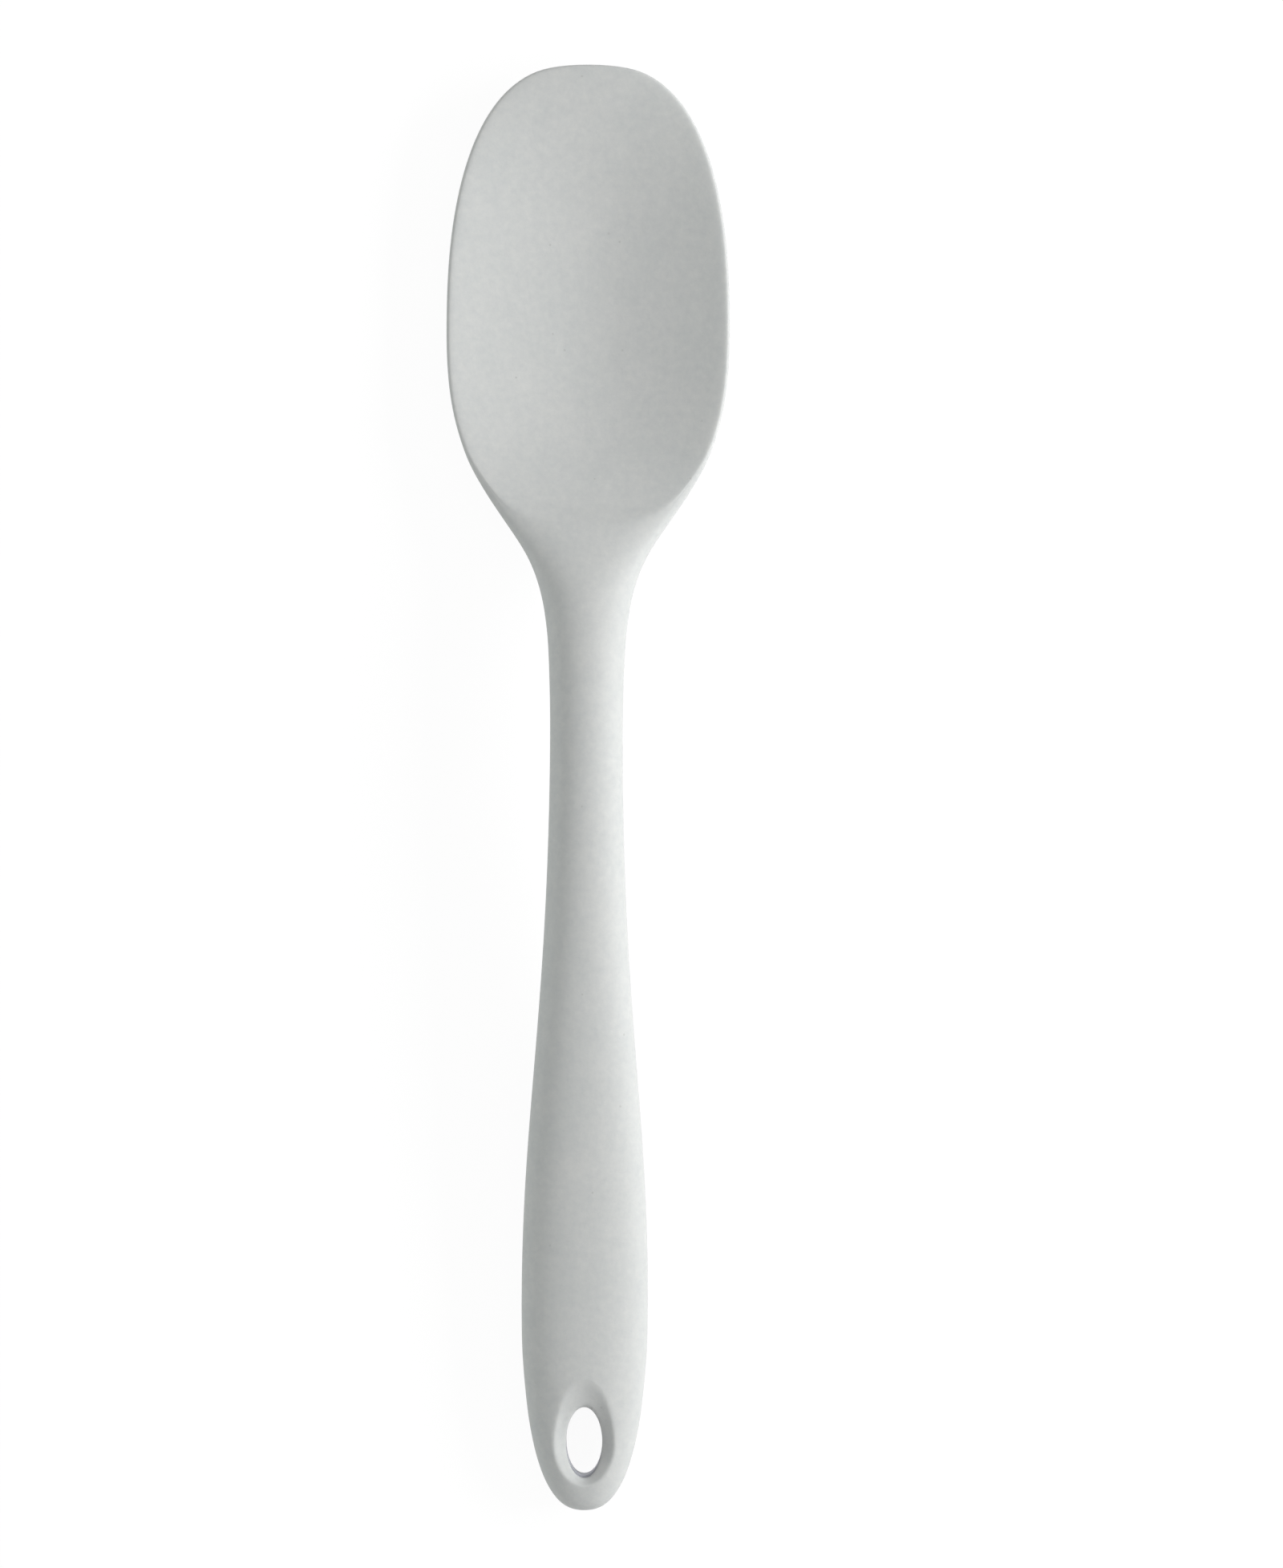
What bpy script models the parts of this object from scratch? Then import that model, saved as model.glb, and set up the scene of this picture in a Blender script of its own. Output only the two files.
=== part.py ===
"""Silicone spoon: one silicone skin moulded over a stiff ribbed core.

The spoon lies on its back with the bowl open upwards: +Z up, +Y towards the tip,
+X to the right, origin on the table under the middle of its length.
Places along the spoon are distances from the tip, in metres.
"""

import math

import bmesh
import bpy
import numpy as np

# Plan outline of the silicone
TOTAL_LENGTH = 0.280
BOWL_WIDTH = 0.0549
BOWL_TIP_LENGTH = 0.0505  # tip to the widest place of the bowl
BOWL_HEEL_LENGTH = 0.0421  # widest place to where the bowl's egg would close
TIP_SIDE_FULLNESS = 2.29  # superellipse exponents of the outline
TIP_END_FULLNESS = 2.77
HEEL_FULLNESS = 2.34
SHOULDER_SHARE = 0.727  # the outline leaves the egg at this share of the heel's length
SHOULDER_PULL = 0.0155
BOWL_TO_NECK = 0.0759  # widest place of the bowl to the slimmest place of the neck
NECK_WIDTH = 0.0139
NECK_PULL = 0.0324
TAPER_PULL = 0.0574
GRIP_WIDTH = 0.0246
GRIP_PULL = 0.0368
END_LENGTH = 0.0418  # widest place of the grip to the end
END_FULLNESS = 2.455

# Bowl in section
SCOOP_DEPTH = 0.0045
CREST_SETBACK = 0.0036  # scoop's crest to where the bowl's egg would close
SCOOP_HEEL_FULLNESS = 2.57
BOWL_WALL = 0.0039  # at the deepest place
LIP_RADIUS = 0.0011
LIP_ROUNDING = 0.0013  # the lip is rounded over this far in from the silhouette
LIP_BAND = 0.0008  # silhouette to the edge of the scoop, in plan
TIP_LIFT = 0.0012
CREST_SOFTNESS = 0.0008
REST_FLAT_DEPTH = 0.0004  # the flat that the bowl rests on is cut this deep
DEEPEST_SHARE = 0.94  # the belly's lowest place, as a share of the tip's length
CROWN_LEAD = 0.0021  # the upper face starts to swell this far ahead of the shoulder
CROWN_RUN = 0.025  # and is as round as the handle this far on
BELLY_FULLNESS = 2.0
BELLY_ROUNDNESS = 0.8

# Neck and handle in section
NECK_THICKNESS = 0.0102
NECK_CLEARANCE = 0.0094  # table to the underside of the neck
GRIP_THICKNESS = 0.0126
HANDLE_FULLNESS = 2.2
END_ROUNDNESS = 2.6  # superellipse exponent of the handle's end, seen from the side
REST_FROM_END = 0.024  # the handle touches the table this far from its end
END_EDGE_RUN = 0.010  # the side edge levels off over about this length

# Side view: where each curve's handles lie, as shares of the way between its two ends
LIP_PULLS = (0.35, 0.6)
LIP_LIFT_SHARE = 0.3  # what is left of the tip's lift at the first of the lip's handles
RISE_PULLS = (0.4, 0.6)
TIP_BELLY_PULL = 0.46
HEEL_BELLY_PULLS = (0.30, 0.46)
UNDERSIDE_PULLS = (0.3, 0.7)

# Hanging eye and the dish around it
EYE_WIDTH = 0.0070
EYE_LENGTH = 0.01335
EYE_FULLNESS = 2.1
EYE_FROM_END = 0.0137  # eye's middle to the handle's end
DISH_RIM = 0.0025  # eye to the edge of the dish, at the sides
DISH_TOP_RIM = 0.0053
DISH_END_RIM = 0.0018
DISH_DEPTH = 0.0018
DISH_FLOOR_SHARE = 0.8  # the dish is at its deepest this near the eye, as a share of its size

# Core
CLEARANCE = 0.0003  # between the core and the silicone all round
PADDLE_INSET = 0.0065  # free silicone lip outside the core's paddle
PADDLE_THICKNESS = 0.0012
CORE_SIDE_SKIN = 0.0022
CORE_FACE_SKIN = 0.0019
CORE_END_SKIN = 0.0035
CORE_FULLNESS = 2.6
PADDLE_EDGE_TAPER = 0.008
CORE_EDGE_SHARE = 0.25  # height of the core's flat side, as a share of its thickness
KEY_HOLE_DIAMETER = 0.0050
KEY_HOLE_COUNT = 8
KEY_RING = 0.62  # the ring of keying holes, as a share of the paddle's outline
POCKET_COUNT = 7
POCKETS_FROM_NECK = 0.010
POCKETS_TO_EYE = 0.010
RIB_WIDTH = 0.0022
RAIL_WIDTH = 0.0022
WEB_THICKNESS = 0.0016
POCKET_FULLNESS = 5.0
EYE_TAB_THICKNESS = 0.0040
EYE_TAB_TAPER = 0.009

# Facets
SILHOUETTE_SEGMENTS = 48
HANDLE_COLUMNS = 12
HANDLE_ROWS = 18
END_ROWS = 20
SCOOP_RINGS = 5
EYE_SEGMENTS = 32
HOLE_SEGMENTS = 12
POCKET_SEGMENTS = 16
CURVE_STEPS = 60  # points along each curve of the outline
CORE_COLUMNS = 10
CORE_TIP_ROWS = 10
CORE_NECK_ROWS = 11
CORE_TAPER_ROWS = 12
CORE_END_ROWS = 12
ROOT_SHARE = 0.4  # the bowl's facets end and the handle's start here between crest and neck
CREST_SHARE = 0.18  # least width of the crest's facets, as a share of the band outside them
BAND_SHARES = (0.0, 0.22, 0.48, 0.74, 0.92, 1.0)  # rings from the crest to the silhouette

# Places along the spoon, from the tip
WIDEST = BOWL_TIP_LENGTH
DEEPEST = WIDEST * DEEPEST_SHARE
SHOULDER_START = BOWL_HEEL_LENGTH * SHOULDER_SHARE
SCOOP_HEEL_LENGTH = BOWL_HEEL_LENGTH - CREST_SETBACK
CREST = WIDEST + SCOOP_HEEL_LENGTH
NECK = WIDEST + BOWL_TO_NECK
GRIP = TOTAL_LENGTH - END_LENGTH
REST = TOTAL_LENGTH - REST_FROM_END
EYE = TOTAL_LENGTH - EYE_FROM_END
HEEL = WIDEST + SHOULDER_START
ROOT = CREST + (NECK - CREST) * ROOT_SHARE

# Heights of the lip, from the table
LIP_EDGE = BOWL_WALL - REST_FLAT_DEPTH + SCOOP_DEPTH - LIP_RADIUS
SCOOP_FLOOR = BOWL_WALL - REST_FLAT_DEPTH


def power(base, exponent):
    """A power that keeps tiny negative rounding errors at zero."""
    return np.maximum(base, 0.0) ** exponent


def arch(u, fullness):
    """Height of a unit superellipse arch at u, from 1 in the middle to 0 at 1."""
    return power(1 - power(u, fullness), 1 / fullness)


def ease(value, low, high):
    """Smooth step from 0 at low to 1 at high."""
    t = np.clip((value - low) / (high - low), 0.0, 1.0)
    return t * t * (3 - 2 * t)


def mix(a, b, share):
    return a + (b - a) * share


def curve(start, pull_start, pull_end, end):
    """Points of one cubic curve, from its two ends and its two handles."""
    t = np.linspace(0, 1, CURVE_STEPS + 1)[:, None]
    p0, p1, p2, p3 = (np.array(p) for p in (start, pull_start, pull_end, end))
    return (1 - t) ** 3 * p0 + 3 * (1 - t) ** 2 * t * p1 + 3 * (1 - t) * t**2 * p2 + t**3 * p3


def outline(bowl_inset=0.0, handle_inset=0.0, end_inset=0.0):
    """The half width along the spoon, as (place, half width) points from tip to end."""
    half = BOWL_WIDTH / 2 - bowl_inset
    turn = np.linspace(0, math.pi / 2, CURVE_STEPS + 1)
    tip_length = BOWL_TIP_LENGTH - bowl_inset
    tip = np.stack(
        [
            WIDEST - tip_length * power(np.cos(turn), 2 / TIP_SIDE_FULLNESS),
            half * power(np.sin(turn), 2 / TIP_END_FULLNESS),
        ],
        axis=1,
    )
    heel_length = BOWL_HEEL_LENGTH - bowl_inset
    leave = (SHOULDER_START - bowl_inset) / heel_length
    u = np.linspace(0, leave, CURVE_STEPS + 1)[1:]
    heel = np.stack([WIDEST + heel_length * u, half * arch(u, HEEL_FULLNESS)], axis=1)
    slope = (heel[-1, 1] - heel[-2, 1]) / (heel[-1, 0] - heel[-2, 0])
    neck_half = NECK_WIDTH / 2 - handle_inset
    shoulder = curve(
        heel[-1],
        heel[-1] + SHOULDER_PULL * np.array([1, slope]),
        (NECK - NECK_PULL, neck_half),
        (NECK, neck_half),
    )
    grip_half = GRIP_WIDTH / 2 - handle_inset
    taper = curve(
        (NECK, neck_half),
        (NECK + TAPER_PULL, neck_half),
        (GRIP - GRIP_PULL, grip_half),
        (GRIP, grip_half),
    )
    end = np.stack(
        [
            GRIP + (END_LENGTH - end_inset) * power(np.sin(turn), 2 / END_FULLNESS),
            grip_half * power(np.cos(turn), 2 / END_FULLNESS),
        ],
        axis=1,
    )
    return np.concatenate([tip, heel, shoulder[1:], taper[1:], end[1:]])


SILHOUETTE = outline()


def half_width(place):
    return np.interp(place, SILHOUETTE[:, 0], SILHOUETTE[:, 1])


def half_thickness(place):
    """Half the thickness of the neck and handle, seen from the side."""
    swell = mix(NECK_THICKNESS / 2, GRIP_THICKNESS / 2, ease(place, NECK, GRIP))
    return swell * arch((np.asarray(place) - GRIP) / END_LENGTH, END_ROUNDNESS)


def side_lines():
    """The lip or side edge, and the keel under it, seen from the side."""
    neck_edge = NECK_CLEARANCE + NECK_THICKNESS / 2
    underside = curve(
        (NECK, NECK_CLEARANCE),
        (mix(NECK, REST, UNDERSIDE_PULLS[0]), NECK_CLEARANCE),
        (mix(NECK, REST, UNDERSIDE_PULLS[1]), 0),
        (REST, 0),
    )
    handle = underside + np.stack([0 * underside[:, 0], half_thickness(underside[:, 0])], axis=1)
    rest_edge = handle[-1]
    slope = (handle[-1, 1] - handle[-2, 1]) / (handle[-1, 0] - handle[-2, 0])
    end_edge = rest_edge + END_EDGE_RUN * np.array([1, slope])
    edge = np.concatenate(
        [
            curve(
                (0, LIP_EDGE + TIP_LIFT),
                (WIDEST * LIP_PULLS[0], LIP_EDGE + TIP_LIFT * LIP_LIFT_SHARE),
                (WIDEST * LIP_PULLS[1], LIP_EDGE),
                (WIDEST, LIP_EDGE),
            ),
            curve(
                (WIDEST, LIP_EDGE),
                (mix(WIDEST, NECK, RISE_PULLS[0]), LIP_EDGE),
                (mix(WIDEST, NECK, RISE_PULLS[1]), neck_edge),
                (NECK, neck_edge),
            )[1:],
            handle[1:],
            curve(rest_edge, end_edge, end_edge, (TOTAL_LENGTH, end_edge[1]))[1:],
        ]
    )
    keel = np.concatenate(
        [
            curve(
                (0, LIP_EDGE + TIP_LIFT),
                (0, LIP_EDGE + TIP_LIFT - 2 * LIP_RADIUS),
                (DEEPEST * TIP_BELLY_PULL, -REST_FLAT_DEPTH),
                (DEEPEST, -REST_FLAT_DEPTH),
            ),
            curve(
                (DEEPEST, -REST_FLAT_DEPTH),
                (mix(DEEPEST, NECK, HEEL_BELLY_PULLS[0]), -REST_FLAT_DEPTH),
                (mix(DEEPEST, NECK, HEEL_BELLY_PULLS[1]), NECK_CLEARANCE),
                (NECK, NECK_CLEARANCE),
            )[1:],
        ]
    )
    return edge, keel


EDGE_LINE, KEEL_LINE = side_lines()


def edge_height(place):
    return np.interp(place, EDGE_LINE[:, 0], EDGE_LINE[:, 1])


def into_handle(place):
    """0 in the bowl, 1 from the neck on."""
    return ease(place, HEEL, NECK)


def into_crown(place):
    """0 where the upper face is a lip, 1 where it is as round as the handle."""
    return ease(place, HEEL - CROWN_LEAD, HEEL - CROWN_LEAD + CROWN_RUN)


def scoop_edge():
    """The scoop's edge, as its reach from the widest place at each turn away from the tip."""
    half = BOWL_WIDTH / 2 - LIP_BAND
    turn = np.linspace(0, math.pi / 2, CURVE_STEPS + 1)
    tip_along = (BOWL_TIP_LENGTH - LIP_BAND) * power(np.cos(turn), 2 / TIP_SIDE_FULLNESS)
    tip_across = half * power(np.sin(turn), 2 / TIP_END_FULLNESS)
    heel_along = -SCOOP_HEEL_LENGTH * power(np.sin(turn), 2 / SCOOP_HEEL_FULLNESS)
    heel_across = half * power(np.cos(turn), 2 / SCOOP_HEEL_FULLNESS)
    along = np.concatenate([tip_along, heel_along[1:]])
    across = np.concatenate([tip_across, heel_across[1:]])
    return np.arctan2(across, along), np.hypot(across, along)


SCOOP_TURN, SCOOP_REACH = scoop_edge()


def scoop_share(x, place):
    """0 at the middle of the scoop, 1 on its edge, more outside it."""
    turn = np.arctan2(np.abs(x), WIDEST - place)
    return np.hypot(x, place - WIDEST) / np.interp(turn, SCOOP_TURN, SCOOP_REACH)


def crown_height(x, place):
    """Upper face of the spoon before the scoop is taken out."""
    width = np.maximum(half_width(place), 1e-7)
    run = mix(LIP_ROUNDING, width, into_crown(place))
    lip = LIP_RADIUS * arch(1 - place / LIP_ROUNDING, HANDLE_FULLNESS)
    rise = mix(lip, half_thickness(place), into_crown(place))
    inward = np.clip((width - np.abs(x)) / run, 0, 1)
    return edge_height(place) + rise * arch(1 - inward, HANDLE_FULLNESS)


def scoop_height(x, place):
    """The scoop is a dish whose every line from the middle to the crown is a parabola."""
    share = np.maximum(scoop_share(x, place), 1e-6)
    crown = crown_height(x / share, WIDEST + (place - WIDEST) / share)
    return SCOOP_FLOOR + (crown - SCOOP_FLOOR) * share**2


def dish_depth(x, place):
    """Depth of the soft-edged dish around the hanging eye."""
    side = EYE_WIDTH / 2 + DISH_RIM
    toward_end = place > EYE
    reach = EYE_LENGTH / 2 + np.where(toward_end, DISH_END_RIM, DISH_TOP_RIM)
    share = np.hypot(x / side, (place - EYE) / reach)
    inner = EYE_WIDTH / 2 / side
    return DISH_DEPTH * (1 - ease(share, inner * DISH_FLOOR_SHARE, 1.0))


def soft_lower(a, b, softness):
    """The lower of two heights, with their meeting line rounded off."""
    share = np.clip(0.5 + (b - a) / (2 * softness), 0.0, 1.0)
    return mix(b, a, share) - softness * share * (1 - share)


def top_height(x, place):
    scooped = soft_lower(crown_height(x, place), scoop_height(x, place), CREST_SOFTNESS)
    in_bowl = np.where(place < NECK, scooped, crown_height(x, place))
    return in_bowl - dish_depth(x, place)


def bottom_height(x, place):
    width = np.maximum(half_width(place), 1e-7)
    u = np.clip(np.abs(x) / width, 0, 1)
    keel = np.interp(place, KEEL_LINE[:, 0], KEEL_LINE[:, 1])
    drop = np.where(place < NECK, edge_height(place) - keel, half_thickness(place))
    fullness = mix(BELLY_FULLNESS, HANDLE_FULLNESS, into_handle(place))
    roundness = mix(BELLY_ROUNDNESS, 1 / HANDLE_FULLNESS, into_handle(place))
    belly = drop * power(1 - power(u, fullness), roundness)
    return edge_height(place) - belly + dish_depth(x, place)


def point(x, place, height):
    """The part's own coordinates of a place on the spoon."""
    return (float(x), TOTAL_LENGTH / 2 - float(place), float(height))


def new_object(name, bm, material):
    bmesh.ops.recalc_face_normals(bm, faces=bm.faces[:])
    mesh = bpy.data.meshes.new(name)
    bm.to_mesh(mesh)
    bm.free()
    mesh.shade_smooth()
    obj = bpy.data.objects.new(name, mesh)
    bpy.context.scene.collection.objects.link(obj)
    if material:
        mesh.materials.append(material)
    return obj


def make_cutter(obj):
    obj.hide_render = True
    obj.display_type = "WIRE"
    return obj


def cut(obj, cutter, name):
    modifier = obj.modifiers.new(name, "BOOLEAN")
    modifier.operation = "DIFFERENCE"
    modifier.solver = "EXACT"
    modifier.object = cutter


def columns(width, count):
    """Places across a row, closer together towards its two edges."""
    return width * np.sin(np.linspace(-math.pi / 2, math.pi / 2, count + 1))


def bowl_boundary():
    """Right root corner, round the tip, to the left root corner, at equal steps."""
    right = SILHOUETTE[SILHOUETTE[:, 0] < ROOT]
    right = np.concatenate([right, [[ROOT, half_width(ROOT)]]])
    loop = np.concatenate([right[::-1], right[1:] * [1, -1]])[:, ::-1]
    steps = np.hypot(*np.diff(loop, axis=0).T)
    run = np.concatenate([[0], np.cumsum(steps)])
    even = np.linspace(0, run[-1], SILHOUETTE_SEGMENTS + 1)
    return np.stack([np.interp(even, run, loop[:, 0]), np.interp(even, run, loop[:, 1])], axis=1)


def bowl_rings():
    """Rings of plan points from the scoop's middle out to the silhouette and the root."""
    root_row = columns(half_width(ROOT), HANDLE_COLUMNS)[1:-1]
    root_row = np.stack([root_row, np.full(HANDLE_COLUMNS - 1, ROOT)], axis=1)
    boundary = np.concatenate([bowl_boundary(), root_row])
    middle = np.array([0, WIDEST])
    outward = boundary - middle
    share = scoop_share(boundary[:, 0], boundary[:, 1])[:, None]
    scoop_edge = middle + outward / share
    scoop_run = np.linalg.norm(scoop_edge - middle, axis=1)[:, None]
    band = np.linalg.norm(boundary - scoop_edge, axis=1)[:, None]
    rings = []
    for ring in range(1, SCOOP_RINGS + 1):
        part = math.sin(math.pi / 2 * ring / (SCOOP_RINGS + 1))
        rings.append(mix(middle, scoop_edge, part))
    rings.append(mix(middle, scoop_edge, 1 - CREST_SOFTNESS / 2 / scoop_run))
    rings.append(scoop_edge)
    near = np.minimum(CREST_SOFTNESS / band, CREST_SHARE)
    for part in BAND_SHARES:
        rings.append(mix(scoop_edge, boundary, mix(near, 1.0, part)))
    return rings


def handle_rows():
    """Places of the rows from the root to the end, closing up round the end."""
    taper = np.linspace(ROOT, GRIP, HANDLE_ROWS + 1)[1:]
    turn = np.linspace(0, math.pi / 2, END_ROWS + 1)[1:-1]
    return np.concatenate([taper, GRIP + END_LENGTH * power(np.sin(turn), 2 / END_FULLNESS)])


def silicone_blank(material):
    """The spoon's whole skin as two faces that meet along the silhouette."""
    bm = bmesh.new()
    rings = bowl_rings()
    count = len(rings[0])
    edge_points = set(range(SILHOUETTE_SEGMENTS + 1))

    def add(x, place, height):
        return bm.verts.new(point(x, place, height))

    def face_of(height, shared, flip):
        """One face: rings round the scoop, then rows down the handle."""

        def quad(a, b, c, d):
            corners = [v for i, v in enumerate((a, b, c, d)) if v not in (a, b, c, d)[:i]]
            bm.faces.new(corners[::-1] if flip else corners)

        heart = add(0, WIDEST, height(np.float64(0), np.float64(WIDEST)))
        before = [heart] * count
        for index, ring in enumerate(rings):
            last = index == len(rings) - 1
            heights = height(ring[:, 0], ring[:, 1])
            verts = []
            for k in range(count):
                if last and k in edge_points:
                    verts.append(shared[k])
                else:
                    verts.append(add(ring[k, 0], ring[k, 1], heights[k]))
            for k in range(count):
                quad(before[k], verts[k], verts[(k + 1) % count], before[(k + 1) % count])
            before = verts
        left = SILHOUETTE_SEGMENTS
        row = [before[(left + j) % count] for j in range(HANDLE_COLUMNS + 1)]
        for index, place in enumerate(handle_rows()):
            xs = columns(half_width(place), HANDLE_COLUMNS)
            inner = height(xs, np.full(len(xs), place))
            verts = [add(xs[j], place, inner[j]) for j in range(1, HANDLE_COLUMNS)]
            verts = [shared["left", index], *verts, shared["right", index]]
            for j in range(HANDLE_COLUMNS):
                quad(row[j], verts[j], verts[j + 1], row[j + 1])
            row = verts
        for j in range(HANDLE_COLUMNS):
            quad(row[j], shared["end"], shared["end"], row[j + 1])

    shared = {}
    for k in edge_points:
        x, place = rings[-1][k]
        shared[k] = add(x, place, edge_height(place))
    for index, place in enumerate(handle_rows()):
        shared["left", index] = add(-half_width(place), place, edge_height(place))
        shared["right", index] = add(half_width(place), place, edge_height(place))
    shared["end"] = add(0, TOTAL_LENGTH, edge_height(TOTAL_LENGTH))
    face_of(top_height, shared, False)
    face_of(bottom_height, shared, True)
    return new_object("silicone_body", bm, material)


def core_middle(x, place):
    """Mid-surface of the core: half-way through the bowl's wall, then the handle's edge."""
    wall = (scoop_height(x, place) + bottom_height(x, place)) / 2
    return mix(wall, edge_height(place), ease(place, HEEL, ROOT))


def core_half_thickness(place):
    handle = half_thickness(place) - CORE_FACE_SKIN
    paddle_to_neck = mix(PADDLE_THICKNESS / 2, handle, ease(place, CREST, NECK))
    eye_top = EYE - EYE_LENGTH / 2 - DISH_TOP_RIM
    return mix(paddle_to_neck, EYE_TAB_THICKNESS / 2, ease(place, eye_top - EYE_TAB_TAPER, eye_top))


def core_solid(name, grow, material):
    """The core as a loft of rows, made larger all round by grow."""
    line = outline(PADDLE_INSET - grow, CORE_SIDE_SKIN - grow, CORE_END_SKIN - grow)
    first, last = line[0, 0], line[-1, 0]
    turn = np.linspace(0, math.pi / 2, CORE_TIP_ROWS + 1)[1:]
    tip = WIDEST - (WIDEST - first) * power(np.cos(turn), 2 / TIP_SIDE_FULLNESS)
    neck = np.linspace(WIDEST, NECK, CORE_NECK_ROWS + 1)[1:]
    taper = np.linspace(NECK, GRIP, CORE_TAPER_ROWS + 1)[1:]
    turn = np.linspace(0, math.pi / 2, CORE_END_ROWS + 1)[1:-1]
    end = GRIP + (last - GRIP) * power(np.sin(turn), 2 / END_FULLNESS)
    rows = np.concatenate([tip, neck, taper, end])
    count = CORE_COLUMNS
    bm = bmesh.new()
    start = bm.verts.new(point(0, first, core_middle(np.float64(0), np.float64(first))))
    finish = bm.verts.new(point(0, last, edge_height(last)))
    sides = 2 * (count + 1)
    before = [start] * sides
    for place in rows:
        width = np.interp(place, line[:, 0], line[:, 1])
        across = columns(width, count)
        run = mix(PADDLE_EDGE_TAPER, width, ease(place, CREST, NECK))
        inward = np.clip((width - np.abs(across)) / run, 0, 1)
        crown = mix(CORE_EDGE_SHARE, 1, arch(1 - inward, CORE_FULLNESS))
        half = core_half_thickness(place) * crown + grow
        middle = core_middle(across, np.full(count + 1, place))
        upper = [(across[j], middle[j] + half[j]) for j in range(count + 1)]
        lower = [(across[j], middle[j] - half[j]) for j in range(count, -1, -1)]
        loop = [bm.verts.new(point(x, place, z)) for x, z in upper + lower]
        for k in range(sides):
            ahead = (k + 1) % sides
            corners = [before[k], loop[k], loop[ahead], before[ahead]]
            if before[k] is before[ahead]:
                corners.pop()
            bm.faces.new(corners)
        before = loop
    for k in range(sides):
        bm.faces.new([before[k], finish, before[(k + 1) % sides]])
    return new_object(name, bm, material)


def prism(bm, plan, lower, upper):
    """A closed prism over plan points, between two heights given per point."""
    low = [bm.verts.new(point(x, place, z)) for (x, place), z in zip(plan, lower)]
    high = [bm.verts.new(point(x, place, z)) for (x, place), z in zip(plan, upper)]
    bm.faces.new(low[::-1])
    bm.faces.new(high)
    for k in range(len(plan)):
        ahead = (k + 1) % len(plan)
        bm.faces.new([low[k], low[ahead], high[ahead], high[k]])


def rounded_plan(place, half_length, width_at, fullness, segments):
    """A closed superellipse in plan whose half width may change along the spoon."""
    turn = np.linspace(0, 2 * math.pi, segments, endpoint=False)
    cos, sin = np.cos(turn), np.sin(turn)
    along = place + half_length * np.sign(sin) * power(np.abs(sin), 2 / fullness)
    across = np.sign(cos) * power(np.abs(cos), 2 / fullness)
    return [(a * width_at(b), b) for a, b in zip(across, along)]


def core_cutters(name, grow):
    """Keying holes, handle pockets and eye of the core, made smaller all round by grow."""
    bm = bmesh.new()
    line = outline(PADDLE_INSET, CORE_SIDE_SKIN, CORE_END_SKIN)
    above = BOWL_WIDTH
    radius = KEY_HOLE_DIAMETER / 2 - grow
    places = [(0.0, WIDEST)]
    for k in range(KEY_HOLE_COUNT):
        turn = 2 * math.pi * (k + 0.5) / KEY_HOLE_COUNT
        reach = BOWL_TIP_LENGTH if math.cos(turn) > 0 else BOWL_HEEL_LENGTH
        along = (reach - PADDLE_INSET) * KEY_RING * math.cos(turn)
        across = (BOWL_WIDTH / 2 - PADDLE_INSET) * KEY_RING * math.sin(turn)
        places.append((across, WIDEST - along))
    for x, place in places:
        ring = rounded_plan(place, radius, lambda _: radius, 2, HOLE_SEGMENTS)
        ring = [(across + x, along) for across, along in ring]
        prism(bm, ring, [-above] * HOLE_SEGMENTS, [above] * HOLE_SEGMENTS)
    first = NECK + POCKETS_FROM_NECK
    last = EYE - EYE_LENGTH / 2 - POCKETS_TO_EYE
    pitch = (last - first + RIB_WIDTH) / POCKET_COUNT
    half_length = (pitch - RIB_WIDTH) / 2 - grow

    def pocket_half(place):
        return np.interp(place, line[:, 0], line[:, 1]) - RAIL_WIDTH - grow

    for k in range(POCKET_COUNT):
        place = first + pitch * k + (pitch - RIB_WIDTH) / 2
        ring = rounded_plan(place, half_length, pocket_half, POCKET_FULLNESS, POCKET_SEGMENTS)
        web = [float(edge_height(along)) + WEB_THICKNESS / 2 + grow for _, along in ring]
        prism(bm, ring, web, [above] * POCKET_SEGMENTS)
        web = [float(edge_height(along)) - WEB_THICKNESS / 2 - grow for _, along in ring]
        prism(bm, ring, [-above] * POCKET_SEGMENTS, web)
    eye = rounded_plan(
        EYE, EYE_LENGTH / 2 - grow, lambda _: EYE_WIDTH / 2 - grow, EYE_FULLNESS, EYE_SEGMENTS
    )
    prism(bm, eye, [-above] * EYE_SEGMENTS, [above] * EYE_SEGMENTS)
    return make_cutter(new_object(name, bm, None))


def eye_cutter():
    bm = bmesh.new()
    ring = rounded_plan(
        EYE, EYE_LENGTH / 2, lambda _: EYE_WIDTH / 2, EYE_FULLNESS, EYE_SEGMENTS
    )
    prism(bm, ring, [-BOWL_WIDTH] * EYE_SEGMENTS, [BOWL_WIDTH] * EYE_SEGMENTS)
    return make_cutter(new_object("eye_cutter", bm, None))


def table_cutter():
    """Everything under the table's level, which leaves the bowl its flat to rest on."""
    bm = bmesh.new()
    side = BOWL_WIDTH
    corners = [(-side, 0), (side, 0), (side, NECK), (-side, NECK)]
    prism(bm, corners, [-side] * 4, [0.0] * 4)
    return make_cutter(new_object("table_cutter", bm, None))


def new_material(name, colour, roughness):
    material = bpy.data.materials.new(name)
    material.use_nodes = True
    shader = material.node_tree.nodes["Principled BSDF"]
    shader.inputs["Base Color"].default_value = (*colour, 1)
    shader.inputs["Roughness"].default_value = roughness
    shader.inputs["Metallic"].default_value = 0
    return material


def make_core():
    nylon = new_material("nylon", (0.42, 0.42, 0.45), 0.5)
    core = core_solid("core", 0.0, nylon)
    cut(core, core_cutters("core_cutter", 0.0), "pockets_and_holes")
    return core


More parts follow.
